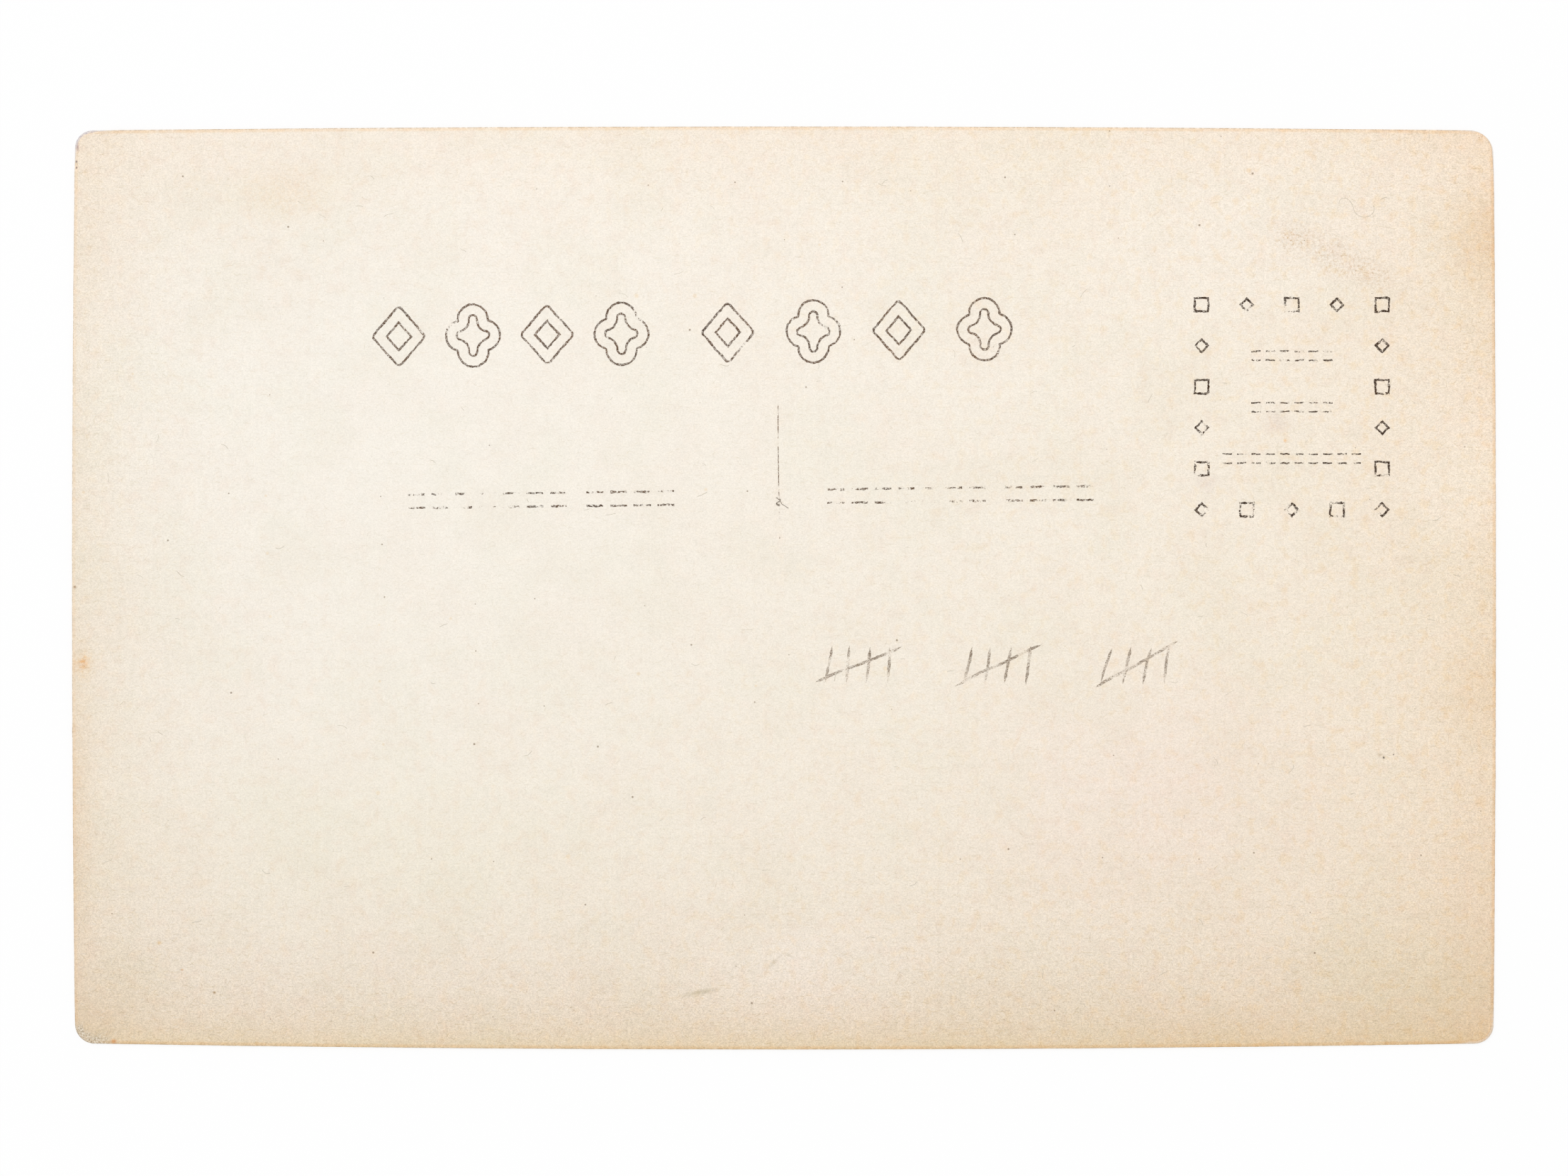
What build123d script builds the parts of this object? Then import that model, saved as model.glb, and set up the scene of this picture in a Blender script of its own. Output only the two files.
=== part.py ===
from build123d import *

import os

# A vintage photographic postcard, lying on its picture side with its address side up.
# A fibre paper base carries three coats on its picture side: a white baryta coat, the
# gelatin image coat and a clear gelatin overcoat. Films of printing ink and a little
# pencil graphite lie on its address side.
#
# Millimetres and degrees. +X runs along the card, +Y towards its top edge and +Z out of
# the address side. The origin is on the resting plane, under the middle of the card.

# Sheet: overall size, between the crowns of opposite edges
card_length = 137.3
card_height = 89.0

# How far each trimmed edge bows out between its corners, and the arcs it is drawn in:
# short arcs, so that facets of the thin coats stay close to the true edge
top_crown = 0.40
bottom_crown = 0.60
left_crown = 0.30
right_crown = 0.25
arcs_in_edge = 8

# Corner radii, rounded unevenly by handling
top_left_radius = 1.7
top_right_radius = 2.3
bottom_left_radius = 1.9
bottom_right_radius = 1.8

# Coats and base, from the picture side up
overcoat_thickness = 0.002
image_thickness = 0.010
baryta_thickness = 0.030
base_thickness = 0.240
rim_bevel = 0.05

# Films on the address side, and the tilt of the printing block on the card
ink_film = 0.005
graphite_film = 0.003
print_tilt = 0.7

# Title row: two groups of open ornaments, each an outline with an inline inside it
title_drop = 19.8
title_shift = -8.9
title_pitches = (7.15, 8.25)
title_gap = 10.25
ornaments_in_group = 4
ornament_width = 5.4
ornament_height = 6.2
ornament_stroke = 0.20
ornament_inset = 1.05
lozenge_rounding = 0.45

# Divider between the message half and the address half
divider_shift = -0.6
divider_drop = 26.9
divider_length = 12.8
divider_width = 0.10

# Captions: two groups of places, each place a pair of short bars
caption_drop = 35.7
caption_counts = (7, 4)
caption_pitch = 2.28
caption_gap = 1.9
caption_bar = 1.60
caption_height = 1.5
caption_stroke = 0.20
message_clearance = 10.0
address_clearance = 4.8

# Stamp frame: open marks round the place for the stamp
stamp_right_margin = 11.0
stamp_drop = 17.2
stamp_columns = 5
stamp_rows = 6
stamp_column_pitch = 4.35
stamp_row_pitch = 3.95
stamp_mark = 1.5
stamp_stroke = 0.20

# Lines of small bar pairs inside the stamp frame
stamp_line_counts = (6, 6, 10)
stamp_line_pitch = 4.95
stamp_line_clearance = 1.3
stamp_bar = 0.90
stamp_bar_height = 1.0
stamp_bar_stroke = 0.14

# Pencil tally: groups of leaning strokes, each group crossed by a longer one
tally_drop = 51.9
tally_shift = 20.6
tally_groups = 3
tally_group_pitch = 13.4
tally_stroke_pitch = 1.9
tally_height = 3.7
tally_leans = (-14, -9, -12, -7)
tally_lean_drift = 3
tally_cross_length = 9.2
tally_cross_lean = -64
tally_line = 0.26
tally_taper = 0.7

# Levels of the faces where one layer meets the next, and the edges that print is set from
image_level = overcoat_thickness
baryta_level = image_level + image_thickness
base_level = baryta_level + baryta_thickness
address_level = base_level + base_thickness
top_edge = card_height / 2
right_edge = card_length / 2


def bowed_edge(start, crown, end):
    """An edge that bows out through its crown, as a chain of arcs of one circle."""
    bow = ThreePointArc(start, crown, end)
    shares = [step / arcs_in_edge for step in range(arcs_in_edge + 1)]
    return [
        ThreePointArc(bow @ a, bow @ ((a + b) / 2), bow @ b)
        for a, b in zip(shares, shares[1:])
    ]


def card_outline():
    """The sheet's outline: four slightly bowed edges and four worn corners."""
    left = left_crown - card_length / 2
    right = card_length / 2 - right_crown
    low = bottom_crown - card_height / 2
    high = card_height / 2 - top_crown
    edges = [
        *bowed_edge((left, high), (0, top_edge), (right, high)),
        *bowed_edge((right, high), (right_edge, 0), (right, low)),
        *bowed_edge((right, low), (0, -top_edge), (left, low)),
        *bowed_edge((left, low), (-right_edge, 0), (left, high)),
    ]
    outline = make_face(edges)
    worn_corners = [
        (left, high, top_left_radius),
        (right, high, top_right_radius),
        (left, low, bottom_left_radius),
        (right, low, bottom_right_radius),
    ]
    for x, y, radius in worn_corners:
        corner = outline.vertices().sort_by_distance((x, y, 0))[0]
        outline = fillet(corner, radius)
    return outline


def sheet(level, thickness):
    """One full layer of the card, from its lower face up."""
    return Pos(0, 0, level) * extrude(card_outline(), thickness, clean=False)


def paper_base():
    """The fibre base, with the rim of its address side worn to a bevel."""
    base = sheet(base_level, base_thickness)
    return chamfer(base.edges().group_by(Axis.Z)[-1], rim_bevel)


def film(marks, thickness):
    """A thin deposit of ink or graphite, lying on the address side."""
    return Pos(0, 0, address_level) * extrude(marks, thickness)


def on_print_line(marks, drop, across):
    """Marks on a tilted print line that crosses the card's middle below its top edge."""
    return Pos(0, top_edge - drop) * Rot(0, 0, print_tilt) * Pos(across, 0) * marks


def open_outline(shape, stroke):
    """A line of the given width, just inside a closed shape."""
    return shape - offset(shape, -stroke)


def lozenge(width, height):
    """A diamond standing on its point."""
    return Polygon((width / 2, 0), (0, height / 2), (-width / 2, 0), (0, -height / 2))


def quatrefoil(width, height):
    """Four round lobes, whose radius is a quarter of the height."""
    lobe = height / 4
    across = width / 2 - lobe
    along = height / 2 - lobe
    centres = Locations((across, 0), (-across, 0), (0, along), (0, -along))
    return Sketch() + [centre * Circle(lobe) for centre in centres]


def open_ornament(shape):
    """An outline and an inline, as on open-faced type."""
    inline = offset(shape, -ornament_inset)
    return open_outline(shape, ornament_stroke) + open_outline(inline, ornament_stroke)


def title_row():
    """Lozenges and quatrefoils in turn, in two groups, centred on the origin."""
    diamond = lozenge(ornament_width, ornament_height)
    motifs = [
        open_ornament(fillet(diamond.vertices(), lozenge_rounding)),
        open_ornament(quatrefoil(ornament_width, ornament_height)),
    ]
    steps = ornaments_in_group - 1
    across = -(steps * sum(title_pitches) + title_gap) / 2
    row = Sketch()
    for pitch in title_pitches:
        row += [
            Pos(across + place * pitch, 0) * motifs[place % len(motifs)]
            for place in range(ornaments_in_group)
        ]
        across += steps * pitch + title_gap
    return row


def divider():
    """The thin upright line between the two halves, hanging from the origin."""
    return Pos(0, -divider_length / 2) * Rectangle(divider_width, divider_length)


def bar_pair(length, height, stroke):
    """Two short bars, one above the other."""
    bar = Rectangle(length, stroke)
    rise = (height - stroke) / 2
    return Pos(0, rise) * bar + Pos(0, -rise) * bar


def caption_length():
    """A caption's length, from its first bar's start to its last bar's end."""
    steps = sum(places - 1 for places in caption_counts)
    return steps * caption_pitch + len(caption_counts) * caption_bar + caption_gap


def caption():
    """Two groups of bar pairs in a row that starts at the origin."""
    pair = bar_pair(caption_bar, caption_height, caption_stroke)
    row = Sketch()
    centre = caption_bar / 2
    for places in caption_counts:
        row += [Pos(centre + place * caption_pitch, 0) * pair for place in range(places)]
        centre += (places - 1) * caption_pitch + caption_bar + caption_gap
    return row


def stamp_x(column):
    """The centre of a column of the stamp frame, counted from the left."""
    return right_edge - stamp_right_margin - (stamp_columns - 1 - column) * stamp_column_pitch


def stamp_y(row):
    """The centre of a row of the stamp frame, counted from the top."""
    return top_edge - stamp_drop - row * stamp_row_pitch


def stamp_frame():
    """Open squares and lozenges in turn, round the stamp's place."""
    square = open_outline(Rectangle(stamp_mark, stamp_mark), stamp_stroke)
    diamond = open_outline(lozenge(stamp_mark, stamp_mark), stamp_stroke)
    frame = Sketch()
    for column in range(stamp_columns):
        for row in range(stamp_rows):
            if column in (0, stamp_columns - 1) or row in (0, stamp_rows - 1):
                mark = diamond if (column + row) % 2 else square
                frame += Pos(stamp_x(column), stamp_y(row)) * mark
    return frame


def stamp_lines():
    """Lines of bar pairs in the middle of the frame, the longest one clear of its marks."""
    pair = bar_pair(stamp_bar, stamp_bar_height, stamp_bar_stroke)
    middle_x = (stamp_x(0) + stamp_x(stamp_columns - 1)) / 2
    middle_y = (stamp_y(0) + stamp_y(stamp_rows - 1)) / 2
    room = stamp_x(stamp_columns - 1) - stamp_x(0) - stamp_mark - 2 * stamp_line_clearance
    pitch = (room - stamp_bar) / (max(stamp_line_counts) - 1)
    lines = Sketch()
    for line, places in enumerate(stamp_line_counts):
        y = middle_y + ((len(stamp_line_counts) - 1) / 2 - line) * stamp_line_pitch
        first = middle_x - (places - 1) / 2 * pitch
        lines += [Pos(first + place * pitch, y) * pair for place in range(places)]
    return lines


def pencil_stroke(length, lean):
    """One pencil line with tapered ends, which leans to the right for a negative angle."""
    tip = length / 2
    full = tip - tally_taper
    side = tally_line / 2
    corners = (0, tip), (-side, full), (-side, -full), (0, -tip), (side, -full), (side, full)
    return Rot(0, 0, lean) * Polygon(*corners)


def tally_group(drift):
    """Leaning strokes and the longer one across them, drifting as the hand moves on."""
    marks = pencil_stroke(tally_cross_length, tally_cross_lean + drift)
    for place, lean in enumerate(tally_leans):
        across = (place - (len(tally_leans) - 1) / 2) * tally_stroke_pitch
        marks += Pos(across, 0) * pencil_stroke(tally_height, lean - drift)
    return marks


def pencil_tally():
    """The pencilled groups, side by side on the address half."""
    marks = Sketch()
    for group in range(tally_groups):
        step = group - (tally_groups - 1) / 2
        place = Pos(tally_shift + step * tally_group_pitch, top_edge - tally_drop)
        marks += place * tally_group(step * tally_lean_drift)
    return marks


message_start = divider_shift - message_clearance - caption_length()
address_start = divider_shift + address_clearance

nodes = {
    "overcoat": sheet(0, overcoat_thickness),
    "image_coat": sheet(image_level, image_thickness),
    "baryta_coat": sheet(baryta_level, baryta_thickness),
    "paper_base": paper_base(),
    "title_ornaments": film(on_print_line(title_row(), title_drop, title_shift), ink_film),
    "divider_rule": film(on_print_line(divider(), divider_drop, divider_shift), ink_film),
    "message_caption": film(on_print_line(caption(), caption_drop, message_start), ink_film),
    "address_caption": film(on_print_line(caption(), caption_drop, address_start), ink_film),
    "stamp_frame": film(stamp_frame(), ink_film),
    "stamp_lines": film(stamp_lines(), ink_film),
    "pencil_tally": film(pencil_tally(), graphite_film),
}

os.makedirs("parts", exist_ok=True)
for name, solids in nodes.items():
    export_step(solids, f"parts/{name}.step")
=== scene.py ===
import math

import bmesh
import bpy
import numpy as np
from bpy.props import FloatProperty, FloatVectorProperty, IntProperty, PointerProperty
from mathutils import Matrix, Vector, noise
from mathutils.geometry import delaunay_2d_cdt


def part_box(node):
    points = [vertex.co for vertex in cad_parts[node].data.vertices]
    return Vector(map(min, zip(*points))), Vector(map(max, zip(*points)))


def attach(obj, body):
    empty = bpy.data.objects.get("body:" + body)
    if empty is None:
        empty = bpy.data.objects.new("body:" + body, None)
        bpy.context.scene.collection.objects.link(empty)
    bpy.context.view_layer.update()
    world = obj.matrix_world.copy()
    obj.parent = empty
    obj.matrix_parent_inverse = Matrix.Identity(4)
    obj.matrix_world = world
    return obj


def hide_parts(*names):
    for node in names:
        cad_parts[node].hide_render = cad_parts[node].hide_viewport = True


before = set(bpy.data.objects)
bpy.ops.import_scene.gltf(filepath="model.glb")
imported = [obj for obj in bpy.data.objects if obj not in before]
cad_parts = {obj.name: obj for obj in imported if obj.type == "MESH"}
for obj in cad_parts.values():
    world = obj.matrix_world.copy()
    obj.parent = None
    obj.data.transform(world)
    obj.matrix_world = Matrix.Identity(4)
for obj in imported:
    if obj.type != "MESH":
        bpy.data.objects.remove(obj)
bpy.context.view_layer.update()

bl_info = {
    "name": "Old Photographic Postcard",
    "version": (1, 0, 0),
    "blender": (4, 5, 0),
    "location": "3D View > Sidebar > Postcard",
    "description": "Finishes an old photographic postcard: toned paper, worn ink, pencil and picture side",
    "category": "Object",
}

# The frame is in metres. Materials and card sizes are worked out in millimetres.
MM = 0.001

# Sizes of the card, from the frame
COAT_LOW, COAT_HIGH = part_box("baryta_coat")
HALF_LENGTH = (COAT_HIGH.x - COAT_LOW.x) / 2 / MM
HALF_HEIGHT = (COAT_HIGH.y - COAT_LOW.y) / 2 / MM
BASE_LEVEL = COAT_HIGH.z / MM
ADDRESS_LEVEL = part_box("paper_base")[1].z / MM

# How far the edges bow out between their corners, and the corners' mean radius
TOP_CROWN = 0.40
BOTTOM_CROWN = 0.60
LEFT_CROWN = 0.30
RIGHT_CROWN = 0.25
CORNER_RADIUS = 1.9

WHITE = (1.0, 1.0, 1.0)


def tone(red, green, blue):
    """A colour from its screen values, 0 to 255, in the linear values that shaders take."""
    def linear(value):
        share = value / 255
        return share / 12.92 if share <= 0.04045 else ((share + 0.055) / 1.055) ** 2.4
    return linear(red), linear(green), linear(blue)


class PaperSettings(bpy.types.PropertyGroup):
    """Sizes and colours of the paper base."""

    paper: FloatVectorProperty(
        name="Paper", description="The paper where it is cleanest",
        subtype="COLOR", min=0, max=1, default=tone(253, 249, 241))
    fray: FloatProperty(
        name="Fray", description="How far the cut edge wanders in and out",
        unit="LENGTH", precision=6, default=0.03 * MM)
    rim_width: FloatProperty(
        name="Rim width", description="Width of the rounding along the upper edge",
        unit="LENGTH", precision=6, default=0.30 * MM)
    rim_depth: FloatProperty(
        name="Rim depth", description="Depth of the rounding along the upper edge",
        unit="LENGTH", precision=6, default=0.05 * MM)
    toning_reach: FloatProperty(
        name="Toning reach", description="How far the brown toning creeps in from the edges",
        unit="LENGTH", precision=5, default=10 * MM)
    grain: FloatProperty(
        name="Grain", description="Contrast of the fibres", subtype="FACTOR", min=0, max=1, default=0.53)
    seed: IntProperty(name="Seed", description="Seed of the worn edge and the scattered fibres", default=7)


class PrintSettings(bpy.types.PropertyGroup):
    """Colours of the ink and the pencil, and the seed of their fray."""

    ink: FloatVectorProperty(
        name="Ink", description="The printing ink where it is whole",
        subtype="COLOR", min=0, max=1, default=tone(56, 34, 16))
    thin_ink: FloatVectorProperty(
        name="Thin ink", description="The printing ink where it is thin",
        subtype="COLOR", min=0, max=1, default=tone(134, 92, 52))
    pencil: FloatVectorProperty(
        name="Pencil", description="The graphite where it is thickest",
        subtype="COLOR", min=0, max=1, default=tone(114, 97, 79))
    seed: IntProperty(name="Seed", description="Seed of the films' frayed outlines", min=1, default=7)


class PictureSettings(bpy.types.PropertyGroup):
    """Colours of the picture side."""

    shadows: FloatVectorProperty(
        name="Shadows", description="The darkest silver",
        subtype="COLOR", min=0, max=1, default=tone(44, 34, 26))
    lights: FloatVectorProperty(
        name="Lights", description="The bare coat where the picture is white",
        subtype="COLOR", min=0, max=1, default=tone(232, 218, 192))


class StageSettings(bpy.types.PropertyGroup):
    """Camera, light and floor."""

    camera_height: FloatProperty(
        name="Camera height", description="Height of the camera over the card's address side",
        unit="LENGTH", default=0.4198)
    lens: FloatProperty(name="Lens", description="Focal length in millimetres", default=100)
    key_share: FloatProperty(
        name="Key share", description="Share of the light that comes from the soft lamp",
        subtype="FACTOR", min=0, max=1, default=0.2)
    floor_glow: FloatProperty(
        name="Floor glow", description="Share of the floor's white that no shadow darkens",
        subtype="FACTOR", min=0, max=1, default=0.75)


class Wiring:
    """Adds nodes to one shader tree and links them."""

    def __init__(self, tree):
        self.tree = tree

    def feed(self, socket, value):
        """Links a socket to this one, or sets its value."""
        if isinstance(value, bpy.types.NodeSocket):
            self.tree.links.new(value, socket)
        elif socket.type == "RGBA":
            socket.default_value = (*value[:3], 1.0)
        else:
            socket.default_value = value

    def node(self, kind, feeds=None, **settings):
        node = self.tree.nodes.new(kind)
        for name, value in settings.items():
            setattr(node, name, value)
        for name, value in (feeds or {}).items():
            self.feed(node.inputs[name], value)
        return node

    def feed_in_turn(self, node, values):
        for socket, value in zip(node.inputs, values):
            self.feed(socket, value)
        return node.outputs

    def math(self, operation, *values):
        return self.feed_in_turn(self.node("ShaderNodeMath", operation=operation), values)["Value"]

    def product(self, first, *others):
        for other in others:
            first = self.math("MULTIPLY", first, other)
        return first

    def linear(self, value, slope, start):
        """The start, plus the slope times the value."""
        return self.math("MULTIPLY_ADD", value, slope, start)

    def between(self, share, under, over):
        """A value on the way from under to over."""
        return self.linear(self.math("SUBTRACT", over, under), share, under)

    def varied(self, middle, value, swing):
        """The middle, moved by the swing times how far a value from 0 to 1 lies from a half."""
        return self.linear(self.math("SUBTRACT", value, 0.5), swing, middle)

    def vector(self, operation, *values):
        outputs = self.feed_in_turn(self.node("ShaderNodeVectorMath", operation=operation), values)
        return outputs["Value" if operation == "LENGTH" else "Vector"]

    def moved(self, place, x, y):
        return self.vector("ADD", place, (x, y, 0))

    def scaled(self, vector, factor):
        node = self.node("ShaderNodeVectorMath", {"Vector": vector, "Scale": factor}, operation="SCALE")
        return node.outputs["Vector"]

    def parts(self, vector):
        """The X, Y and Z of a vector."""
        return self.node("ShaderNodeSeparateXYZ", {"Vector": vector}).outputs

    def noise(self, vector, scale, detail=2.0, roughness=0.5, space="2D", out="Fac"):
        feeds = {"Vector": vector, "Scale": scale, "Detail": detail, "Roughness": roughness}
        return self.node("ShaderNodeTexNoise", feeds, noise_dimensions=space).outputs[out]

    def frayed(self, place, scale, detail, roughness, reach):
        """The place, pushed about by noise, so that what is drawn by it has a frayed outline."""
        wander = self.noise(place, scale, detail, roughness, out="Color")
        push = self.vector("SUBTRACT", wander, (0.5, 0.5, 0.5))
        return self.vector("ADD", place, self.scaled(push, reach))

    def grade(self, value, start, end, low=0.0, high=1.0):
        """A smooth step from low to high as the value goes from start to end."""
        feeds = {"Value": value, "From Min": start, "From Max": end, "To Min": low, "To Max": high}
        node = self.node("ShaderNodeMapRange", feeds, interpolation_type="SMOOTHSTEP")
        return node.outputs["Result"]

    def lay(self, under, over, *factors, blend="MIX"):
        """One colour over another, as far as the factors' product says."""
        node = self.node("ShaderNodeMix", data_type="RGBA", blend_type=blend)
        for index, value in ((0, self.product(*factors)), (6, under), (7, over)):
            self.feed(node.inputs[index], value)
        return node.outputs[2]

    def stain(self, colour, tint, *factors):
        """The colour, multiplied by a tint as far as the factors' product says."""
        return self.lay(colour, tint, *factors, blend="MULTIPLY")

    def mix_shaders(self, share, under, over):
        return self.feed_in_turn(self.node("ShaderNodeMixShader"), (share, under, over))["Shader"]

    def group(self, tree, place, **feeds):
        feeds = {name.title(): value for name, value in feeds.items()}
        return self.node("ShaderNodeGroup", {"Vector": place, **feeds}, node_tree=tree).outputs


def new_group(name, gives, **takes):
    """An empty node group that takes a vector and these values: its wiring, inputs and outputs."""
    tree = bpy.data.node_groups.new(name, "ShaderNodeTree")
    for label, default in {"Vector": (0.0, 0.0, 0.0), **takes}.items():
        kind = "NodeSocketVector" if isinstance(default, tuple) else "NodeSocketFloat"
        socket = tree.interface.new_socket(label, in_out="INPUT", socket_type=kind)
        socket.default_value = default
    for label in gives:
        tree.interface.new_socket(label, in_out="OUTPUT", socket_type="NodeSocketFloat")
    wiring = Wiring(tree)
    return wiring, wiring.node("NodeGroupInput").outputs, wiring.node("NodeGroupOutput").inputs


def shared(build):
    """Keeps a node group that is built once and placed in several materials."""
    def fetch():
        return bpy.data.node_groups.get(build.__name__) or build(build.__name__)
    return fetch


@shared
def card_edges(name):
    """Distances from the card's edges, in millimetres."""
    sides = ("Left", "Right", "Top", "Bottom")
    w, takes, gives = new_group(name, ("Edge", *sides))
    x, y, _ = w.parts(takes["Vector"])
    bow_x = w.math("POWER", w.math("ABSOLUTE", w.math("DIVIDE", x, HALF_LENGTH)), 2)
    bow_y = w.math("POWER", w.math("ABSOLUTE", w.math("DIVIDE", y, HALF_HEIGHT)), 2)

    def distance(position, half, crown, bow):
        edge = w.linear(bow, -crown, half)
        return w.math("ADD", edge, position)

    left = distance(x, HALF_LENGTH, LEFT_CROWN, bow_y)
    right = distance(w.product(x, -1), HALF_LENGTH, RIGHT_CROWN, bow_y)
    top = distance(w.product(y, -1), HALF_HEIGHT, TOP_CROWN, bow_x)
    bottom = distance(y, HALF_HEIGHT, BOTTOM_CROWN, bow_x)
    across = w.math("MINIMUM", left, right)
    along = w.math("MINIMUM", top, bottom)
    short_x = w.math("MAXIMUM", w.math("SUBTRACT", CORNER_RADIUS, across), 0)
    short_y = w.math("MAXIMUM", w.math("SUBTRACT", CORNER_RADIUS, along), 0)
    reach = w.math("SQRT", w.math("ADD", w.math("POWER", short_x, 2), w.math("POWER", short_y, 2)))
    inner = w.math("MAXIMUM", w.math("MINIMUM", across, along), CORNER_RADIUS)
    w.feed(gives["Edge"], w.math("SUBTRACT", inner, reach))
    for side, value in zip(sides, (left, right, top, bottom)):
        w.feed(gives[side], value)
    return w.tree


@shared
def soft_spot(name):
    """One soft-edged oval, turned about its centre."""
    w, takes, gives = new_group(
        name, ("Mask",), Centre=(0.0, 0.0, 0.0), Size=(1.0, 1.0, 1.0), Turn=0.0, Core=0.0)
    turned = w.node("ShaderNodeVectorRotate", {
        "Vector": takes["Vector"], "Center": takes["Centre"],
        "Angle": w.product(takes["Turn"], -1)}, rotation_type="Z_AXIS")
    offset = w.vector("SUBTRACT", turned.outputs["Vector"], takes["Centre"])
    flat = w.vector("MULTIPLY", offset, (1, 1, 0))
    distance = w.vector("LENGTH", w.vector("DIVIDE", flat, takes["Size"]))
    w.feed(gives["Mask"], w.grade(distance, 1, takes["Core"]))
    return w.tree


def oval(w, place, centre, size, core=0.0, turn=0.0):
    """The mask of one soft spot: its centre and half size in mm, and its turn in degrees."""
    spot = w.group(
        soft_spot(), place, centre=(*centre, 0), size=(*size, 1), core=core, turn=math.radians(turn))
    return spot["Mask"]


# The felt: how it is drawn out along the card, its grain's layers, each with a scale per mm and a share,
# and the scale of its clouds
FELT_DRAW = (0.72, 1.0, 1.0)
GRAIN_LAYERS = ((13.0, 1.12), (6.0, 0.75), (2.2, 0.27))
CLOUD_SCALE = 0.5


@shared
def paper_grain(name):
    """The felt of the paper, drawn out along the card: fine grain and broad clouds."""
    w, takes, gives = new_group(name, ("Grain", "Cloud"))
    drawn = w.vector("MULTIPLY", takes["Vector"], FELT_DRAW)
    grain = 0.5
    for scale, share in GRAIN_LAYERS:
        grain = w.varied(grain, w.noise(w.moved(drawn, scale, 0), scale, 1), share)
    w.feed(gives["Grain"], grain)
    w.feed(gives["Cloud"], w.noise(drawn, CLOUD_SCALE))
    return w.tree


def scattered_cells(w, vector, spacing):
    """Cells at random places about a spacing apart: their outputs, and three random values of each."""
    feeds = {"Vector": vector, "Scale": w.math("DIVIDE", 1, spacing)}
    cells = w.node("ShaderNodeTexVoronoi", feeds, voronoi_dimensions="2D").outputs
    return cells, w.node("ShaderNodeSeparateColor", {"Color": cells["Color"]}).outputs


@shared
def fibre_strokes(name):
    """Short bent fibres in the felt, one in a cell at most, that lie mostly along the card."""
    w, takes, gives = new_group(name, ("Mask",), Spacing=2.0, Length=1.0, Width=0.06, Share=0.7)
    cells, (chance, lean, bend) = scattered_cells(w, takes["Vector"], takes["Spacing"])
    offset = w.vector("SUBTRACT", takes["Vector"], cells["Position"])
    leaning = w.math("POWER", w.linear(lean, 2, -1), 3)
    turned = w.node("ShaderNodeVectorRotate", {
        "Vector": offset, "Angle": w.product(leaning, 1.5)}, rotation_type="Z_AXIS")
    along, aside, _ = w.parts(turned.outputs["Vector"])
    sag = w.product(along, along, w.linear(bend, 2.4, -1.2))
    off_line = w.math("ABSOLUTE", w.math("ADD", aside, sag))
    half = w.product(takes["Length"], 0.5)
    tip = w.grade(w.math("ABSOLUTE", along), half, w.product(half, 0.4))
    present = w.math("LESS_THAN", chance, takes["Share"])
    w.feed(gives["Mask"], w.product(w.grade(off_line, takes["Width"], 0), tip, present))
    return w.tree


@shared
def broken_film(name):
    """Where a thin film of ink or graphite still holds."""
    w, takes, gives = new_group(name, ("Mask",), Cover=0.7, Patch=3.0, Gap=0.2, Softness=0.05)
    patches = w.noise(takes["Vector"], w.math("DIVIDE", 1, takes["Patch"]))
    breaks = w.noise(takes["Vector"], w.math("DIVIDE", 1, takes["Gap"]), 2, 0.6)
    held = w.linear(patches, 0.55, w.product(breaks, 0.45))
    level = w.linear(takes["Cover"], -0.4, 0.7)
    start = w.math("SUBTRACT", level, takes["Softness"])
    end = w.math("ADD", level, takes["Softness"])
    w.feed(gives["Mask"], w.grade(held, start, end))
    return w.tree


@shared
def specks(name):
    """Scattered round specks of uneven size."""
    w, takes, gives = new_group(name, ("Mask",), Spacing=4.0, Size=0.15, Share=0.4)
    cells, (chance, size, _) = scattered_cells(w, takes["Vector"], takes["Spacing"])
    radius = w.product(w.math("POWER", size, 2), takes["Size"])
    distance = w.product(cells["Distance"], takes["Spacing"])
    spot = w.grade(distance, radius, w.product(radius, 0.4))
    present = w.math("LESS_THAN", chance, takes["Share"])
    w.feed(gives["Mask"], w.product(spot, present))
    return w.tree


def new_material(name):
    """A material with a bare Principled shader: its wiring, the shader's inputs and the place in mm."""
    material = bpy.data.materials.new(name)
    material.use_nodes = True
    material.node_tree.nodes.clear()
    w = Wiring(material.node_tree)
    shader = w.node("ShaderNodeBsdfPrincipled")
    surface = w.node("ShaderNodeOutputMaterial")
    w.feed(surface.inputs["Surface"], shader.outputs["BSDF"])
    place = w.node("ShaderNodeTexCoord").outputs["Object"]
    return material, w, shader.inputs, w.scaled(place, 1 / MM)


def bump(w, height, strength, depth):
    """A normal from a height that varies from 0 to 1 over a depth in millimetres."""
    feeds = {"Height": height, "Strength": strength, "Distance": depth * MM}
    return w.node("ShaderNodeBump", feeds).outputs["Normal"]


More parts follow.
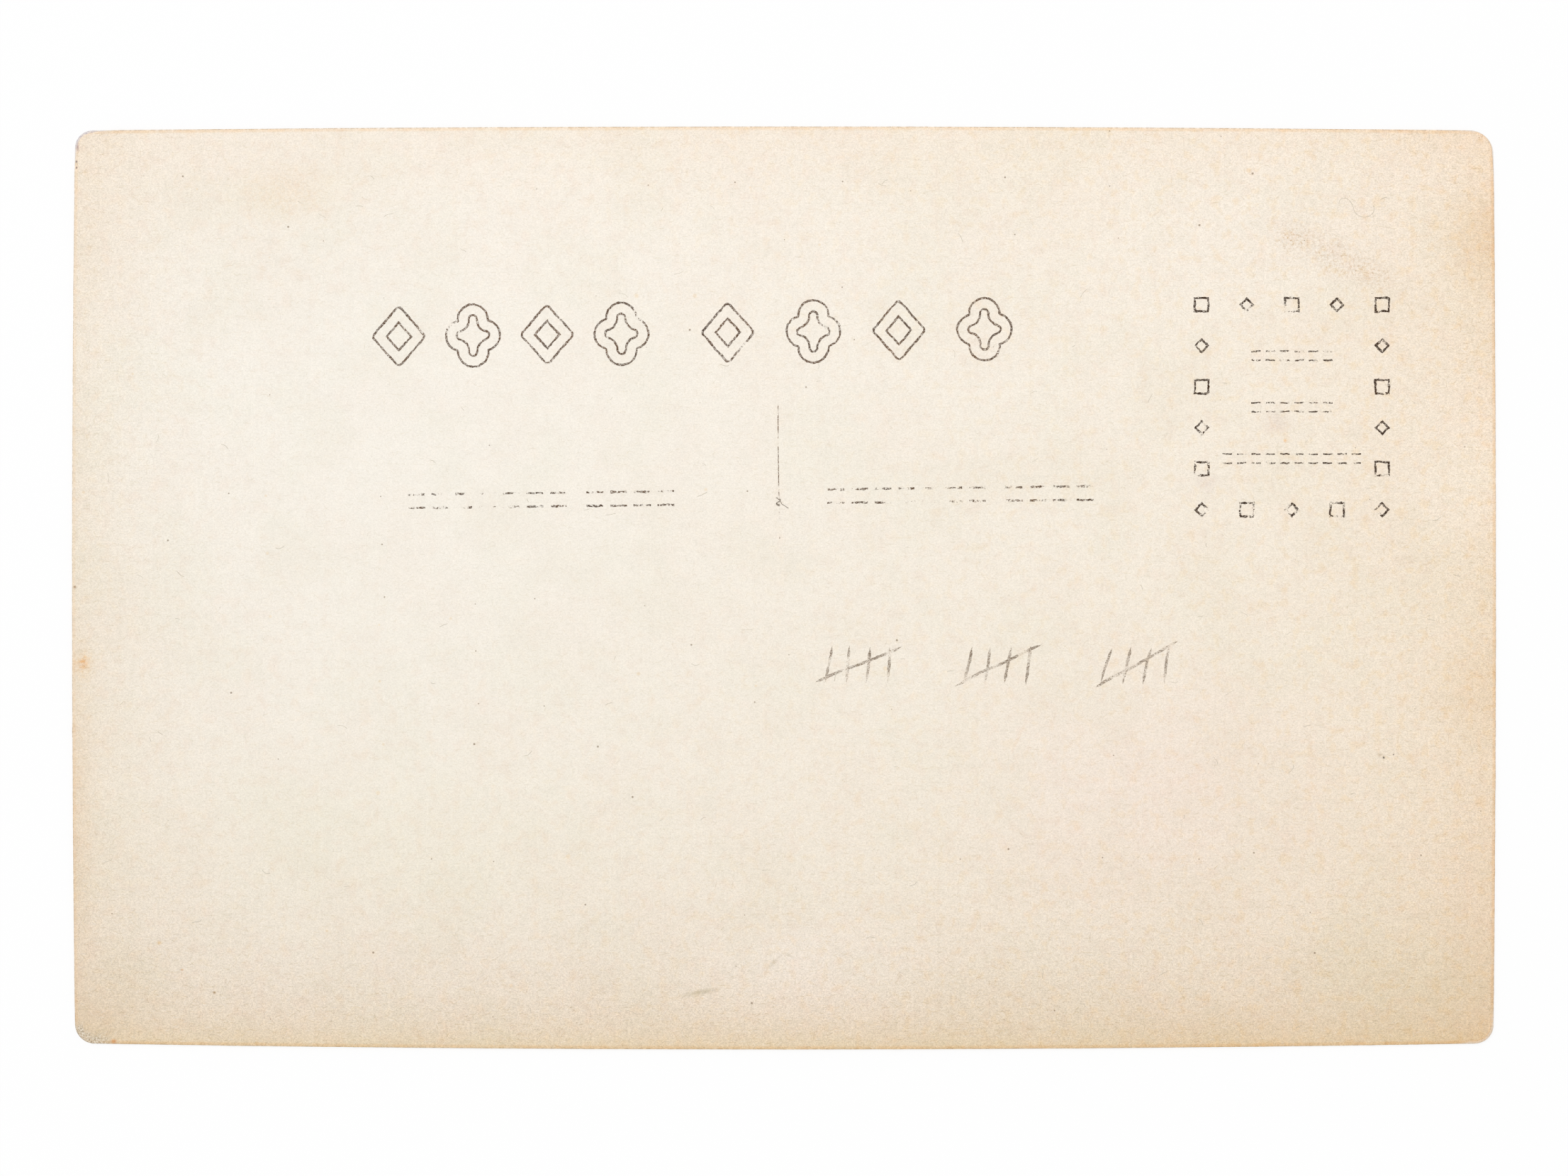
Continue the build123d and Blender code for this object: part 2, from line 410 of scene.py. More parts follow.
# Blotches and marks on the paper: centre and half size in mm, turn in degrees, tint, strength,
# and the share of it that is broken up into flecks
STAINS = (
    ((68.0, 33.5), (6.5, 7.5), 0, tone(243, 224, 198), 0.5, 0.3),
    ((66.5, -9.5), (6.5, 7.0), 0, tone(247, 240, 226), 0.5, 0.3),
    ((-68.4, -22.0), (2.6, 24.0), 0, tone(246, 232, 214), 0.5, 0.4),
    ((-67.4, -7.3), (1.6, 2.4), 0, tone(248, 226, 190), 0.6, 0.6),
    ((-67.4, -7.2), (0.7, 0.8), 0, tone(250, 200, 130), 0.7, 0.4),
    ((-68.35, 0.1), (0.25, 0.20), 0, tone(150, 116, 80), 0.8, 0.0),
    ((-48.0, 38.0), (8.0, 4.0), 0, tone(252, 243, 232), 0.8, 0.5),
    ((49.2, 34.0), (3.6, 2.6), -20, tone(220, 202, 180), 0.34, 0.95),
    ((52.6, 32.0), (5.4, 3.4), -35, tone(216, 202, 190), 0.30, 0.95),
    ((56.8, 30.4), (4.2, 2.4), -20, tone(224, 208, 190), 0.28, 0.95),
    ((47.5, 16.0), (2.0, 1.7), 0, tone(232, 222, 222), 0.5, 0.4),
    ((40.6, 10.2), (2.0, 1.4), 0, tone(234, 226, 228), 0.5, 0.4),
    ((-8.0, -38.95), (2.7, 0.40), 11, tone(212, 210, 194), 0.75, 0.3),
    ((-1.0, -36.1), (1.6, 0.25), 46, tone(216, 214, 204), 0.6, 0.4),
    ((0.5, -35.4), (0.7, 0.22), -25, tone(216, 214, 204), 0.6, 0.4),
    ((57.8, -16.35), (0.17, 0.20), 20, tone(60, 52, 42), 0.95, 0.0),
    ((57.5, -16.1), (0.6, 0.35), -20, tone(206, 192, 168), 0.6, 0.6),
    ((58.75, -16.05), (0.11, 0.11), 0, tone(60, 52, 42), 0.9, 0.0),
    ((22.6, -14.4), (0.25, 2.3), -24, tone(246, 226, 206), 0.4, 0.5),
    ((-64.6, -43.7), (0.42, 0.36), 0, tone(244, 186, 120), 0.85, 0.0),
    ((-60.2, -34.2), (0.4, 0.3), 0, tone(240, 214, 150), 0.6, 0.3),
    ((-58.0, -36.8), (0.22, 0.18), 0, tone(226, 176, 130), 0.7, 0.2),
    ((-54.9, -39.0), (0.25, 0.22), 0, tone(170, 140, 90), 0.8, 0.2),
    ((48.3, 14.2), (0.25, 0.25), 0, tone(246, 196, 120), 0.6, 0.0),
    ((-68.1, 42.5), (0.22, 0.65), 0, tone(176, 160, 186), 0.9, 0.2),
    ((-68.2, 41.1), (0.15, 0.20), 0, tone(110, 92, 120), 0.9, 0.0),
    ((-68.2, 40.5), (0.12, 0.18), 0, tone(110, 92, 120), 0.9, 0.0),
)

# Places in the smudge that are full of crumbs: centre and half size in mm, turn in degrees, strength
SMUDGES = (
    ((48.8, 33.6), (2.2, 1.5), 0, 0.9),
    ((53.2, 31.9), (5.6, 2.6), -28, 0.6),
    ((57.0, 30.2), (4.0, 2.0), -28, 0.5),
)

# How far the paper has aged: at its left end, by how much more at its right end and beside a dark edge,
# and at most
AGE_LEFT = 0.255
AGE_RISE = 0.28
AGE_AT_EDGE = 3.2
MOST_AGED = 0.85

# Tints of the broad tones: top to bottom, which is painted shade, left to right, and inwards from each edge
# with its reach as a share of the toning reach
PAINTED_SHADE_DOWN = (0.949, 0.930, 0.896)
TONE_ACROSS = (0.977, 0.918, 0.847)
EDGE_TONES = (
    ("Left", 1.0, (0.935, 0.868, 0.790)),
    ("Right", 1.0, (0.971, 0.897, 0.822)),
    ("Top", 1.0, (0.996, 0.952, 0.910)),
    ("Bottom", 1.0, (0.872, 0.783, 0.712)),
    ("Bottom", 0.18, (1.0, 0.99, 0.87)),
)

# Broad clouds on the paper: centre and half size in mm, tint
CLOUDS = (
    ((67.0, 11.0), (10.0, 12.0), (1.045, 1.07, 1.11)),
    ((60.0, -38.0), (16.0, 10.0), (0.96, 0.985, 0.955)),
    ((3.0, -37.0), (16.0, 8.0), (1.035, 1.045, 1.08)),
    ((36.0, -20.0), (26.0, 18.0), (1.01, 0.98, 1.0)),
    ((-62.0, 20.0), (14.0, 22.0), (1.01, 1.02, 1.03)),
    ((-38.0, -25.0), (34.0, 14.0), (0.985, 0.993, 0.972)),
    ((62.0, 40.0), (12.0, 5.0), (1.02, 1.025, 1.05)),
    ((50.0, 37.0), (28.0, 16.0), (1.01, 1.025, 1.05)),
    ((42.0, -43.0), (14.0, 5.0), (0.99, 0.97, 0.95)),
    ((-63.0, -38.0), (7.0, 5.0), (0.97, 0.975, 0.95)),
    ((-48.0, 34.0), (22.0, 16.0), (0.978, 0.974, 0.963)),
)

# Olive fibres in the felt: spacing, length, width and shift of each kind in mm, and strength
DARK_FIBRES = (
    (1.8, 1.2, 0.07, (0.0, 0.0), 0.55),
    (0.85, 0.65, 0.06, (40.3, 11.7), 0.7),
)

# Tints of the smaller marks on the paper
YELLOW_FLECK = (0.985, 0.94, 0.865)
OLIVE_FLECK = (0.955, 0.955, 0.940)
PINK_FLECK = (0.985, 0.945, 0.925)
WARM_CLOUD = (0.995, 0.986, 0.982)
GREEN_CLOUD = (0.984, 0.989, 0.979)
BROWN_CRUMB = (0.72, 0.60, 0.45)
OLIVE_FIBRE = (0.80, 0.75, 0.62)
DARK_SPECK = (0.30, 0.24, 0.18)
RUST_SPECK = (0.93, 0.72, 0.44)
CUT_EDGE = (0.80, 0.70, 0.58)
ORANGE_RIM = (0.975, 0.85, 0.71)
DARK_RIM = (0.72, 0.64, 0.55)
GREY_PIT = (0.48, 0.45, 0.41)

# Places on the paper, with centre and half size in mm: where flecks are few, and the rubbed corners
CLEAN_PLACE = ((-22.0, 12.0), (46.0, 28.0))
FLUFFY_CORNER = ((-67.4, -43.4), (3.4, 2.2))
PALE_CORNERS = ((68.2, 44.0), (68.2, -43.8), (-68.2, 44.0))
PALE_REACH = (3.6, 3.6)

# Depths under the address side at which the cut edge starts and is in full, in mm
CUT_START = 0.05
CUT_FULL = 0.10


def toned_colour(w, settings, place, edges):
    """The paper's broad tones, with a painted shade from top to bottom, and how far it has aged."""
    x, y, _ = w.parts(place)
    # Painted shade: the paper is darker and greyer towards the bottom
    down = w.grade(y, HALF_HEIGHT, -HALF_HEIGHT)
    across = w.linear(x, 0.5 / HALF_LENGTH, 0.5)
    colour = w.stain(w.stain(settings.paper, PAINTED_SHADE_DOWN, down), TONE_ACROSS, across)
    age = w.linear(across, AGE_RISE, AGE_LEFT)
    for side, share, tint in EDGE_TONES:
        reach = settings.toning_reach / MM * share
        fading = w.math("EXPONENT", w.math("DIVIDE", edges[side], -reach))
        colour = w.stain(colour, tint, fading)
        age = w.linear(fading, AGE_AT_EDGE * (1 - tint[1]), age)
    for centre, size, tint in CLOUDS:
        colour = w.stain(colour, tint, oval(w, place, centre, size))
    return colour, w.math("MINIMUM", age, MOST_AGED)


def flecked(w, colour, place, age):
    """Pink flecks all over, yellow and olive ones mostly where the paper is toned, and faint clouds."""
    flecks = w.noise(place, 0.9)
    thinned = w.linear(oval(w, place, *CLEAN_PLACE, core=0.3), -0.6, 1)
    rightward = w.grade(w.parts(place)["X"], -HALF_LENGTH, HALF_LENGTH, 0.40, 1.0)
    toned = w.product(w.math("POWER", w.math("MINIMUM", age, 0.6), 1.5), 2.1, thinned, rightward)
    colour = w.stain(colour, YELLOW_FLECK, w.grade(flecks, 0.50, 0.75), toned)
    colour = w.stain(colour, OLIVE_FLECK, w.grade(flecks, 0.48, 0.28), age)
    pink = w.noise(w.moved(place, 71.0, 23.0), 0.8)
    colour = w.stain(colour, PINK_FLECK, w.grade(pink, 0.50, 0.72, 0, 0.6), thinned)
    warm = w.noise(place, 0.13, 2, 0.6)
    colour = w.stain(colour, WARM_CLOUD, w.grade(warm, 0.40, 0.65))
    green = w.noise(w.moved(place, 11.0, 5.0), 0.10, 2, 0.6)
    return w.stain(colour, GREEN_CLOUD, w.grade(green, 0.45, 0.65))


def blotched(w, colour, place):
    """Blotches, the larger ones with frayed outlines, and brown crumbs in the smudge."""
    frayed = w.frayed(place, 0.9, 3, 0.6, 1.2)
    broken = w.grade(w.noise(place, 3.2, 3, 0.65), 0.44, 0.64)
    for centre, size, turn, tint, strength, share in STAINS:
        spot = oval(w, frayed if min(size) > 0.5 else place, centre, size, turn=turn)
        if share:
            spot = w.product(spot, w.linear(broken, share, 1 - share))
        colour = w.stain(colour, tint, spot, strength)
    crumbs = w.grade(w.noise(place, 3.6, 3, 0.6), 0.56, 0.68)
    for centre, size, turn, strength in SMUDGES:
        spot = oval(w, frayed, centre, size, turn=turn)
        colour = w.stain(colour, BROWN_CRUMB, spot, crumbs, strength)
    return colour


def felted(w, colour, place, grain, age, contrast):
    """The felt's light and dark, with olive and pale fibres in it: the colour, and the pale ones' mask."""
    light = w.varied(1, grain["Grain"], w.product(age, contrast))
    light = w.varied(light, grain["Cloud"], contrast * 0.08)
    shade = w.node("ShaderNodeCombineColor", {"Red": light, "Green": light, "Blue": light})
    colour = w.stain(colour, shade.outputs["Color"], 1.0)
    for spacing, length, width, shift, strength in DARK_FIBRES:
        strokes = w.group(fibre_strokes(), w.moved(place, *shift), spacing=spacing, length=length,
                          width=width)
        colour = w.stain(colour, OLIVE_FIBRE, strokes["Mask"], age, strength)
    pale = w.group(fibre_strokes(), w.moved(place, -21.0, 63.0), spacing=1.0, length=0.7)["Mask"]
    return w.lay(colour, WHITE, pale, age, 0.2), pale


def specked(w, colour, place):
    """Small dark specks, and larger faint ones of rust."""
    dark = w.group(specks(), place, spacing=5.0, size=0.15, share=0.45)["Mask"]
    colour = w.stain(colour, DARK_SPECK, dark, 0.75)
    rust = w.group(specks(), w.moved(place, 3.3, 1.7), spacing=6.0, size=0.30, share=0.3)["Mask"]
    return w.stain(colour, RUST_SPECK, rust, 0.3)


def layered_edge(w, colour, place):
    """The cut edge, layered like felt."""
    layers = w.noise(w.vector("MULTIPLY", place, (1.0, 1.0, 30.0)), 1.2, 3, 0.6, space="3D")
    side = w.grade(w.parts(place)["Z"], ADDRESS_LEVEL - CUT_START, ADDRESS_LEVEL - CUT_FULL)
    return w.stain(colour, CUT_EDGE, side, layers)


def soiled_rim(w, colour, place, edges):
    """An orange band along the edges, and a thin dark line at their very rim."""
    uneven = w.noise(place, 0.8, 3, 0.7)
    band = w.product(w.grade(edges["Edge"], 0.46, 0.20), w.grade(edges["Edge"], 0.05, 0.20, 0.5, 0.85))
    left = w.grade(edges["Left"], 2.0, 0.5, 1.0, 0.55)
    colour = w.stain(colour, ORANGE_RIM, band, left, w.grade(uneven, 0.25, 0.60, 0.45, 1.0))
    patchy = w.noise(place, 2.6, 3, 0.75)
    top = w.grade(edges["Top"], 1.0, 0.4, 0.7, 1.0)
    line = w.grade(edges["Edge"], 0.15, 0.04)
    return w.stain(colour, DARK_RIM, line, w.grade(patchy, 0.38, 0.58), top)


def rubbed_corners(w, colour, place, edges):
    """Three corners with a pale rubbed rim, and the lower left one rubbed down to grey fluff."""
    speckle = w.noise(place, 6.0, 3, 0.7)
    tufts = w.noise(place, 2.2, 3, 0.7)
    worn = oval(w, place, *FLUFFY_CORNER, core=0.3)
    band = w.product(w.grade(w.varied(edges["Edge"], tufts, 1.6), 1.3, 0.2), worn)
    colour = w.lay(colour, tone(206, 197, 180), band, 0.5)
    colour = w.stain(colour, GREY_PIT, band, w.grade(speckle, 0.47, 0.36))
    colour = w.lay(colour, tone(243, 236, 222), band, w.grade(speckle, 0.53, 0.63), 0.8)
    pale = w.grade(edges["Edge"], 0.35, 0.10)
    for centre in PALE_CORNERS:
        near = oval(w, place, centre, PALE_REACH, core=0.5)
        colour = w.lay(colour, tone(242, 235, 226), pale, near, w.grade(speckle, 0.30, 0.55), 0.5)
    return colour


def aged_paper(settings):
    """Cream fibre paper, toned brown from its edges, with stains, specks and a soiled rim."""
    material, w, shader, place = new_material("aged_paper")
    edges = w.group(card_edges(), place)
    grain = w.group(paper_grain(), place)
    colour, age = toned_colour(w, settings, place, edges)
    colour = flecked(w, colour, place, age)
    colour = blotched(w, colour, place)
    colour, pale = felted(w, colour, place, grain, age, settings.grain)
    colour = specked(w, colour, place)
    colour = layered_edge(w, colour, place)
    colour = soiled_rim(w, colour, place, edges)
    w.feed(shader["Base Color"], rubbed_corners(w, colour, place, edges))
    w.feed(shader["Roughness"], w.linear(grain["Grain"], 0.15, 0.80))
    shader["Specular IOR Level"].default_value = 0.2
    height = w.linear(pale, 0.4, grain["Grain"])
    w.feed(shader["Normal"], bump(w, height, 0.5, 0.015))
    return material


def worn_ink(name, settings, body, cover, patch, gap, bare):
    """Printing ink, dark where it is thick and brown where it is thin, with barer places given in mm."""
    material, w, shader, place = new_material(name)
    grain = w.group(paper_grain(), place)
    for centre, size, loss in bare:
        cover = w.linear(oval(w, place, centre, size, core=0.5), -loss, cover)
    held = w.group(broken_film(), place, cover=cover, patch=patch, gap=gap, softness=0.06)["Mask"]
    thickness = w.varied(body, grain["Cloud"], 0.8)
    w.feed(shader["Base Color"], w.lay(settings.thin_ink, settings.ink, thickness))
    thin = w.grade(grain["Grain"], 0.34, 0.56, 0.4 * body, 0.5 + 0.45 * body)
    w.feed(shader["Alpha"], w.product(held, thin))
    shader["Roughness"].default_value = 0.6
    shader["Specular IOR Level"].default_value = 0.1
    return material


def pencil_graphite(settings):
    """Soft grey graphite, caught on the fibres that stand up."""
    material, w, shader, place = new_material("pencil_graphite")
    grain = w.group(paper_grain(), place)
    held = w.group(broken_film(), place, cover=0.60, patch=1.6, gap=0.13, softness=0.12)
    w.feed(shader["Base Color"], w.lay(settings.pencil, tone(150, 130, 108), grain["Grain"]))
    caught = w.grade(grain["Grain"], 0.36, 0.60, 0.25, 0.85)
    pressed = w.grade(grain["Cloud"], 0.30, 0.65, 0.65, 1.0)
    w.feed(shader["Alpha"], w.product(held["Mask"], caught, pressed))
    w.feed(shader["Roughness"], w.linear(grain["Grain"], 0.3, 0.35))
    shader["Metallic"].default_value = 0.2
    return material


# The corner where the coat shows violet: centre and half size in mm
VIOLET_CORNER = ((-67.2, 43.0), (3.0, 3.0))


def soiled_baryta(settings):
    """White mineral coat, soiled where the rim lies bare."""
    material, w, shader, place = new_material("soiled_baryta")
    edges = w.group(card_edges(), place)
    grain = w.group(paper_grain(), place)
    colour = w.lay(settings.lights, tone(250, 246, 240), w.grade(edges["Edge"], 0.5, 0.0))
    speckle = w.noise(place, 5.0, 3, 0.7)
    violet = w.lay(tone(170, 160, 180), tone(234, 226, 224), w.grade(speckle, 0.35, 0.6))
    colour = w.lay(colour, violet, oval(w, place, *VIOLET_CORNER), 0.9)
    colour = w.stain(colour, (0.9, 0.88, 0.86), grain["Grain"])
    w.feed(shader["Base Color"], colour)
    w.feed(shader["Roughness"], w.linear(grain["Grain"], 0.2, 0.5))
    return material


# The picture, in mm: the far shore of a lake, and ridges that stand behind it or in front of it,
# each with its level, swing, scale, detail and lightness
SHORE_LEVEL = -4.0
FAR_RIDGES = (
    (12.0, 14.0, 0.020, 4.0, 0.70),
    (5.0, 10.0, 0.035, 6.0, 0.52),
    (-0.5, 3.5, 0.16, 8.0, 0.26),
)
NEAR_BANK = (-24.0, 7.0, 0.03, 6.0, 0.24)
TREE_CROWNS = (((-44.0, 14.0), (15.0, 15.0)), ((-53.0, 5.0), (11.0, 9.0)), ((-36.0, 4.0), (9.0, 7.0)))
TRUNK_PLACE = -45.5
TRUNK_FOOT = -27.0
TRUNK_TOP = 14.0
TRUNK_WIDTH = 1.3
BORDER_WIDTH = 4.2


@shared
def landscape(name):
    """A plain view over a lake to hills, with a tree in front: its lightness from 0 to 1."""
    w, takes, gives = new_group(name, ("Lightness",))
    place = takes["Vector"]
    x, y, _ = w.parts(place)
    above = w.math("ABSOLUTE", w.math("SUBTRACT", y, SHORE_LEVEL))
    mirrored = w.math("ADD", above, SHORE_LEVEL)
    upright = w.node("ShaderNodeCombineXYZ", {"X": x, "Y": mirrored}).outputs["Vector"]

    def ridge(light, across, height, level, swing, scale, detail, lightness):
        line = w.node("ShaderNodeCombineXYZ", {"X": x, "Y": level * 9}).outputs["Vector"]
        crest = w.varied(level, w.noise(line, scale, detail), swing * 2)
        ground = w.varied(lightness, w.noise(across, 0.5, 6, 0.7), 0.45)
        cover = w.grade(w.math("SUBTRACT", crest, height), -0.10, 0.10)
        return w.between(cover, light, ground)

    clouds = w.noise(w.vector("MULTIPLY", upright, (0.4, 1.0, 1.0)), 0.07, 5, 0.55)
    light = w.linear(w.grade(clouds, 0.45, 0.72), 0.20, w.grade(mirrored, 45, 4, 0.62, 0.86))
    for hill in FAR_RIDGES:
        light = ridge(light, upright, mirrored, *hill)

    # The lake: a dimmer mirror with level streaks
    water = w.grade(y, SHORE_LEVEL + 0.15, SHORE_LEVEL - 0.15)
    streaks = w.noise(w.vector("MULTIPLY", place, (0.06, 1.0, 1.0)), 0.9, 4, 0.6)
    dimmed = w.linear(light, 0.72, w.grade(streaks, 0.40, 0.70, 0.02, 0.24))
    light = w.between(water, light, dimmed)
    light = ridge(light, place, y, *NEAR_BANK)

    # The tree: a trunk, and crowns of clumped leaves
    ragged = w.frayed(place, 0.22, 5, 0.65, 14.0)
    leaves = w.grade(w.noise(place, 0.6, 5, 0.7), 0.35, 0.70, 0.06, 0.42)
    bent = w.varied(TRUNK_PLACE, w.noise(place, 0.05), 5.0)
    aside = w.math("ABSOLUTE", w.math("SUBTRACT", x, bent))
    stem = w.grade(aside, TRUNK_WIDTH, TRUNK_WIDTH - 0.3)
    trunk = w.product(stem, w.grade(y, TRUNK_FOOT - 1, TRUNK_FOOT), w.grade(y, TRUNK_TOP, TRUNK_TOP - 4))
    light = w.between(trunk, light, 0.12)
    for centre, size in TREE_CROWNS:
        light = w.between(oval(w, ragged, centre, size, core=0.94), light, leaves)

    # The bare border
    edge = w.group(card_edges(), place)["Edge"]
    bare = w.grade(edge, BORDER_WIDTH + 0.08, BORDER_WIDTH - 0.08)
    w.feed(gives["Lightness"], w.between(bare, light, 1))
    return w.tree


def silver_picture(name, settings, gloss):
    """A sepia silver picture in gelatin, with mirroring in the shadows near the edges."""
    material, w, shader, place = new_material(name)
    edges = w.group(card_edges(), place)
    light = w.group(landscape(), place)["Lightness"]
    colour = w.lay(settings.shadows, settings.lights, w.grade(light, 0.0, 1.0))
    patchy = w.grade(w.noise(place, 0.25, 4, 0.6), 0.35, 0.65)
    mirror = w.product(w.grade(edges["Edge"], 9.0, 0.0), patchy, w.grade(light, 0.7, 0.2))
    colour = w.lay(colour, tone(150, 156, 172), mirror, 0.45)
    rust = w.group(specks(), place, spacing=11.0, size=0.6, share=0.35)["Mask"]
    colour = w.stain(colour, (0.92, 0.72, 0.45), rust, 0.5)
    worn = w.grade(w.noise(place, 1.5, 3), 0.45, 0.6)
    colour = w.lay(colour, settings.lights, w.grade(edges["Edge"], 0.5, 0.05), worn)
    w.feed(shader["Base Color"], colour)
    w.feed(shader["Metallic"], w.product(mirror, 0.5))
    w.feed(shader["Roughness"], w.linear(patchy, 0.12, gloss))
    return material


# The place of the knotted fibre: centre and half size in mm
KNOT_PLACE = ((-0.3, 8.2), (2.0, 2.0))


def stray_fibre():
    """Thin hair: dark brown in the knot on the divider, pale grey-green elsewhere."""
    material, w, shader, place = new_material("stray_fibre")
    shade = w.noise(place, 1.1)
    dark = w.lay(tone(84, 72, 58), tone(120, 106, 88), shade)
    pale = w.lay(tone(176, 172, 156), tone(214, 207, 190), shade)
    w.feed(shader["Base Color"], w.lay(pale, dark, oval(w, place, *KNOT_PLACE, core=0.8)))
    shader["Roughness"].default_value = 0.5
    return material


def ring_wave(count, cells, draw):
    """A smooth random wave round a closed outline, from -1 to 1."""
    values = draw.uniform(-1, 1, cells)
    place = np.arange(count) * cells / count
    before = np.floor(place).astype(int)
    share = place - before
    share = share * share * (3 - 2 * share)
    return values[before % cells] * (1 - share) + values[(before + 1) % cells] * share


def card_outline(step):
    """Points round the card and their outward normals, anticlockwise and evenly spaced, in mm."""
    corners = np.array([vertex.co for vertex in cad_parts["baryta_coat"].data.vertices])[:, :2] / MM
    corners = np.unique(corners.round(5), axis=0)
    corners = corners[np.argsort(np.arctan2(corners[:, 1], corners[:, 0]))]
    closed = np.vstack([corners, corners[:1]])
    run = np.concatenate([[0], np.cumsum(np.hypot(*np.diff(closed, axis=0).T))])
    places = np.linspace(0, run[-1], round(run[-1] / step), endpoint=False)
    points = np.column_stack([np.interp(places, run, closed[:, axis]) for axis in (0, 1)])
    along = np.roll(points, -2, axis=0) - np.roll(points, 2, axis=0)
    along /= np.hypot(*along.T)[:, None]
    return points, np.column_stack([along[:, 1], -along[:, 0]])


# Where handling has worn the paper's outline back: place and reach along it in mm, depth at the top
# of the edge, and the share of that depth at its foot
WORN_PLACES = (
    ((-67.6, 43.5), 1.8, 0.22, 1.0),
    ((68.3, 42.2), 1.8, 0.13, 0.8),
    ((-68.0, -42.9), 2.4, 0.08, 0.0),
    ((66.6, -43.8), 1.4, 0.04, 0.0),
    ((68.4, 2.6), 0.3, 0.12, 0.0),
)

# The sheet's mesh, in mm: its rings of points, from the wall's foot to the rim, and the fill inside them
OUTLINE_STEP = 0.2
WALL_SHARES = (0.0, 0.20, 0.45, 0.72)
WALL_ROUGHNESS = 0.008
RIM_INSETS = (0.0, 0.03, 0.08, 0.15, 0.25, 0.40, 0.65, 1.0)
FILL_SPACING = 3.0

# How many random swells go round the outline: in the fray, the worn places, the rim and the wall
FRAY_SWELLS = 260
FINE_FRAY_SWELLS = 1100
WEAR_SWELLS = 900
RIM_SWELLS = 320
WALL_SWELLS = 1300

# The lower left corner, where the top fibres are rubbed off, in mm: its place, its reach along the edge
# and band inwards, with the widths over which they fade, its depth, and the scale of its fluff
RUBBED_CORNER = (-68.3, -44.0)
RUBBED_REACH = 4.2
REACH_FADE = 0.8
RUBBED_BAND = 1.3
BAND_FADE = 0.25
RUBBED_DEPTH = 0.03
FLUFF_SCALE = 3.1


def rubbed_depth(points, inset):
    """How deep the rubbed corner lies under the address side, at points and insets from the edge."""
    away = np.hypot(*(points - RUBBED_CORNER).T)
    near = np.clip((RUBBED_REACH - away) / REACH_FADE, 0, 1)
    near *= np.clip((RUBBED_BAND - inset) / BAND_FADE, 0, 1)
    fluff = [noise.noise((x * FLUFF_SCALE, y * FLUFF_SCALE, 5.0)) for x, y in points]
    return near * RUBBED_DEPTH * (0.6 + 0.7 * np.array(fluff))


def worn_sheet(settings):
    """The paper base as a mesh: its vertices and faces, with a frayed edge and a rounded rim."""
    draw = np.random.default_rng(settings.seed)
    points, normals = card_outline(OUTLINE_STEP)
    count = len(points)
    fray = settings.fray / MM
    coarse = ring_wave(count, FRAY_SWELLS, draw)
    fine = ring_wave(count, FINE_FRAY_SWELLS, draw)
    worn = fray * (1 + 0.6 * coarse + 0.4 * fine)
    foot = np.zeros(count)
    for centre, reach, depth, foot_share in WORN_PLACES:
        away = np.hypot(*(points - centre).T)
        wear = depth * np.exp(-(away / reach) ** 2) * (1 + 0.3 * ring_wave(count, WEAR_SWELLS, draw))
        worn += wear
        foot += wear * foot_share
    depth = settings.rim_depth / MM * (1 + 0.5 * ring_wave(count, RIM_SWELLS, draw))
    width = settings.rim_width / MM

    rings = []
    for share in WALL_SHARES:
        level = BASE_LEVEL + share * (ADDRESS_LEVEL - depth - BASE_LEVEL)
        back = foot + share * (worn - foot) + WALL_ROUGHNESS * ring_wave(count, WALL_SWELLS, draw)
        rings.append(np.column_stack([points - normals * np.maximum(back, 0)[:, None], level]))
    for inset in RIM_INSETS:
        places = points - normals * (worn + inset)[:, None]
        level = ADDRESS_LEVEL - depth * max(0, 1 - inset / width) ** 2 - rubbed_depth(places, inset)
        rings.append(np.column_stack([places, level]))

    faces = []
    for lower in range(len(rings) - 1):
        low = lower * count
        high = low + count
        for place in range(count):
            after = (place + 1) % count
            faces.append((low + place, low + after, high + after, high + place))
    vertices = [tuple(vertex) for ring in rings for vertex in ring]

    # The top inside the last ring, filled with a coarse grid of points
    inner = rings[-1][:, :2]
    limit_x = HALF_LENGTH - FILL_SPACING
    limit_y = HALF_HEIGHT - FILL_SPACING
    grid = [(x, y) for x in np.arange(-limit_x, limit_x, FILL_SPACING)
            for y in np.arange(-limit_y, limit_y, FILL_SPACING)]
    flat = [Vector(point) for point in [*inner, *grid]]
    filled = delaunay_2d_cdt(flat, [], [list(range(count))], 1, 1e-6)
    places, triangles, origins = filled[0], filled[2], filled[3]
    start = (len(rings) - 1) * count
    lookup = []
    for place, origin in zip(places, origins):
        if origin and origin[0] < count:
            lookup.append(start + origin[0])
        else:
            lookup.append(len(vertices))
            vertices.append((place.x, place.y, ADDRESS_LEVEL))
    faces += [tuple(lookup[corner] for corner in triangle) for triangle in triangles]

    # The underside, against the baryta coat
    middle = len(vertices)
    vertices.append((0.0, 0.0, BASE_LEVEL))
    faces += [(middle, (place + 1) % count, place) for place in range(count)]
    return [tuple(value * MM for value in vertex) for vertex in vertices], faces


# How finely a film's outline is cut before it is frayed, how deep its foot soaks into the paper, and how
# near to the foot's level a point counts as on it, in mm
FRAY_STEP = 0.12
FRAY_PASSES = 7
SOAK_DEPTH = 0.004
ON_FOOT = 0.001


